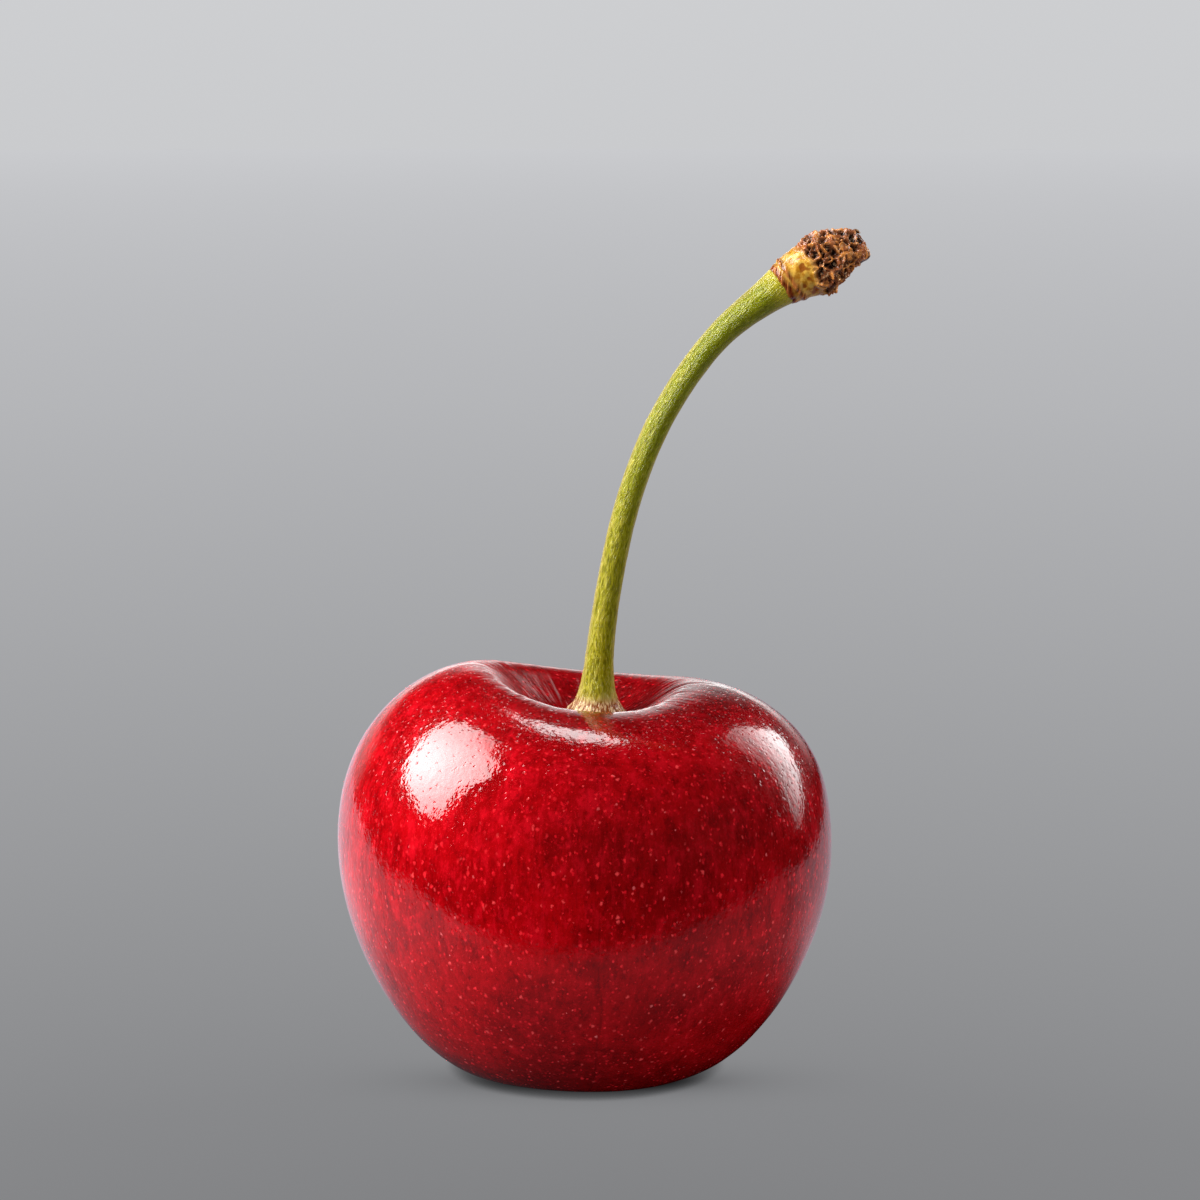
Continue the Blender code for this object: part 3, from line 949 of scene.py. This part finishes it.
def floor_material():
    """A pale floor that glows by itself and grows paler away from the fruit: painted light, with
    the fruit's painted shadow.
    """
    s = Shader("studio_floor")
    place = s.node("TexCoord").outputs["Object"]
    far = s.node("VectorMath", operation="LENGTH")
    s.link(place, far.inputs[0])
    spread = s.math("LOGARITHM", s.math("DIVIDE", far.outputs["Value"], MM), math.e)
    low, high = math.log(FLOOR_TONES[0][0]), math.log(FLOOR_TONES[-1][0])
    ramp = s.node("ValToRGB")
    s.link(s.range(spread, low, high, smooth=False), ramp.inputs["Fac"])
    stops = ramp.color_ramp.elements
    while len(stops) < len(FLOOR_TONES):
        stops.new(0.5)
    for stop, (distance, tone) in zip(stops, FLOOR_TONES):
        stop.position = (math.log(distance) - low) / (high - low)
        stop.color = (*(tone * share for share in FLOOR_HUE), 1.0)
    # the fruit's soft shadow: dark where it rests, thinning out to both sides
    dark = s.math("EXPONENT", s.math("MULTIPLY", s.math(
        "POWER", s.distance(place, SHADOW_AT, SHADOW_CORE), 3.0), -1.03))
    thin = s.math("EXPONENT", s.math("MULTIPLY", s.math(
        "POWER", s.distance(place, SHADOW_AT, SHADOW_TAIL), 2.0), -1.0))
    shadow = s.math("ADD", dark, s.math("MULTIPLY", thin, 0.5))
    nook = s.node("AmbientOcclusion", samples=8)
    nook.inputs["Distance"].default_value = NOOK_REACH * MM
    lit = s.math("MULTIPLY", s.range(shadow, 0.0, 1.0, 1.0, SHADOW_FLOOR, smooth=False),
                 s.range(nook.outputs["AO"], 0.0, 0.7, 0.30, 1.0))
    glow = s.node("Emission")
    s.link(ramp.outputs["Color"], glow.inputs["Color"])
    s.link(lit, glow.inputs["Strength"])
    s.link(glow.outputs["Emission"], s.tree.nodes["Material Output"].inputs["Surface"])
    return s.material


def card(corners, soft):
    """A soft-edged flat card, given by the directions of its corners in degrees.

    The answer reads many directions: 1 on the card, 0 off it."""
    rays = [direction(azimuth, elevation) for azimuth, elevation in corners]
    middle = sum(rays, Vector()).normalized()
    side = middle.cross(Vector((0, 0, 1))).normalized()
    axes = np.array([side, side.cross(middle)])
    flat = np.array([[ray.dot(side), ray.dot(side.cross(middle))] for ray in rays])
    flat /= np.array([[ray.dot(middle)] for ray in rays])
    blur = math.radians(soft)

    def read(sky):
        facing = sky @ np.array(middle)
        place = sky @ axes.T / np.maximum(facing, 0.05)[:, None]
        inside = np.where(facing > 0.05, 1.0, 0.0)
        for first, second in zip(flat, np.roll(flat, -1, axis=0)):
            edge = (second - first) / np.linalg.norm(second - first)
            depth = (place - first) @ np.array([-edge[1], edge[0]])
            centre_side = (flat.mean(axis=0) - first) @ np.array([-edge[1], edge[0]])
            inside = inside * smoothstep(depth * math.copysign(1, centre_side), -blur, blur)
        return inside
    return read


def near(sky, azimuth, elevation, spread):
    """1 in the given direction, fading over so many degrees."""
    angle = np.arccos(np.clip(sky @ np.array(direction(azimuth, elevation)), -1, 1))
    return np.exp(-(angle / math.radians(spread)) ** 2)


# ---- What the glossy skin mirrors, as directions in degrees and brightness ----

KEY_CARD = ((-66, 30), (-58, 50), (-66, 61), (-90, 69), (-124, 71), (-138, 62),
            (-138, 53), (-121, 41), (-110, 31), (-101, 23), (-88, 17), (-72, 21))
TAIL_CARD = ((-72, 13), (-66, 22), (-66, 33), (-88, 36), (-92, 20), (-84, 15))
STRIP_CARD = ((109, 0), (125, -4), (141, 10), (143, 17), (148, 24), (155, 28), (155, 35),
              (148, 44), (138, 49), (126, 46), (116, 36), (112, 26))
RIM_CARD = ((186, 53), (184, 66), (176, 71), (164, 72), (163, 61), (170, 58), (178, 55))


def sky_glow(sky):
    """How bright the studio looks in each direction."""
    height = np.degrees(np.arcsin(np.clip(sky[:, 2], -1, 1)))
    turn = np.degrees(np.arctan2(sky[:, 0], sky[:, 1]))
    wall = smoothstep(turn, -50, -34) * smoothstep(turn, 36, 20) * smoothstep(height, 18, 3)
    column = 2.1 * np.exp(-(turn / 9) ** 2) * smoothstep(height, 34, 21)
    column += (2.8 * np.exp(-(turn / 20) ** 2)
               * smoothstep(height, 12, 8) * smoothstep(height, 2, 5))
    glow = 0.004 + wall * (0.37 - 0.002 * turn) + 0.45 * column
    key = 6.5 + 12.5 * near(sky, -94, 37, 24)
    shape = np.maximum(card(KEY_CARD, 0.6)(sky), card(TAIL_CARD, 0.6)(sky))
    glow += shape * key * (0.45 + 0.55 * smoothstep(height, 74, 58))
    strip = 7.0 * near(sky, 141, 25, 14.5) + 4.0 * near(sky, 126, 11, 13)
    glow += card(STRIP_CARD, 1.1)(sky) * strip
    glow += card(RIM_CARD, 2.0)(sky) * 8.5
    return glow


SKY_ROWS, SKY_TURNS = 200, 540
SKY_LOW, SKY_HIGH = -4.0, 89.5           # degrees
SKY_RADIUS = 1.5                         # metres


def dome(tilts, turns):
    """Unit directions in rows of equal tilt, for a dome of stage light."""
    tilt, turn = np.meshgrid(tilts, np.arange(turns) / turns * math.tau, indexing="ij")
    return np.stack([np.cos(tilt) * np.cos(turn), np.cos(tilt) * np.sin(turn),
                     np.sin(tilt)], axis=-1).reshape(-1, 3)


def mirrored_sky():
    sky = dome(np.radians(np.linspace(SKY_LOW, SKY_HIGH, SKY_ROWS)), SKY_TURNS)
    verts = sky * SKY_RADIUS + np.array(CENTRE)
    stage_mesh("sky_mirrored", verts.tolist(), quad_faces(SKY_ROWS, SKY_TURNS, closed=True),
               glow_material("sky_mirrored", (1.0, 1.0, 1.0)), sky_glow(sky), glossy=True)


MIRRORED_FLOOR_HUE = (1.0, 0.92, 1.06)
MIRRORED_FLOOR_HEIGHT = 0.02             # mm, just above the floor that the camera sees


def mirrored_floor():
    """What the glossy skin mirrors of the floor: it ends a little way in front."""
    xs = np.concatenate([-np.geomspace(700, 1, 90), [0], np.geomspace(1, 700, 90)])
    ys = np.concatenate([-np.geomspace(120, 1, 70), [0], np.geomspace(1, 1400, 90)])
    x, y = np.meshgrid(xs, ys)
    lit = smoothstep(y - (-25 + 0.0035 * x * x), -3.0, 3.0)
    lit = lit * smoothstep(68 - x, -9, 9) * smoothstep(x + 64 + 1.15 * np.maximum(y, 0), -10, 10)
    glow = 0.15 + 0.42 * smoothstep(-x, 9, 30) + 0.22 * smoothstep(y, -4, 16)
    # dimmer round the fruit: a painted shadow in what the skin mirrors
    glow = glow * lit * smoothstep(np.hypot(x - 5, y), 7, 22)
    verts = np.stack([x, y, np.full_like(x, MIRRORED_FLOOR_HEIGHT)], axis=-1) * MM
    stage_mesh("floor_mirrored", verts.reshape(-1, 3).tolist(),
               quad_faces(*x.shape, closed=False),
               glow_material("floor_mirrored", MIRRORED_FLOOR_HUE), glow.ravel(), glossy=True)


def backdrop():
    """The pale backdrop, seen past the edge of the floor."""
    share = np.arange(BACKDROP_ROWS) / (BACKDROP_ROWS - 1)
    tilts = BACKDROP_TOP * share ** 1.5
    verts = dome(tilts, BACKDROP_TURNS) * STAGE_RADIUS + np.array([0, STAGE_MIDDLE_Y, 0])
    glow = BACKDROP_LOW + BACKDROP_GAIN * np.minimum(tilts / BACKDROP_FADE, 1.0)
    stage_mesh("backdrop", verts.tolist(),
               quad_faces(BACKDROP_ROWS, BACKDROP_TURNS, closed=True),
               glow_material("backdrop", BACKDROP_HUE),
               np.repeat(glow, BACKDROP_TURNS), camera=True)


def studio():
    rim = dome([0.0], FLOOR_SIDES) * STAGE_RADIUS
    floor = stage_mesh("floor", rim.tolist(), [tuple(range(FLOOR_SIDES))], floor_material(),
                       camera=True, diffuse=True)
    floor.location.y = STAGE_MIDDLE_Y
    backdrop()
    mirrored_sky()
    mirrored_floor()

    for lamp in LAMPS:
        softbox(*lamp)

    world = bpy.data.worlds.new("studio")
    world.use_nodes = True
    bpy.context.scene.world = world
    back = world.node_tree.nodes["Background"]
    back.inputs["Color"].default_value = (*WORLD_COLOUR, 1.0)
    back.inputs["Strength"].default_value = WORLD_STRENGTH
    world.cycles_visibility.glossy = False
    world.cycles_visibility.camera = False
    bpy.context.scene.view_settings.view_transform = "Standard"


camera()
fruit()
stalk()
woody_end()
studio()
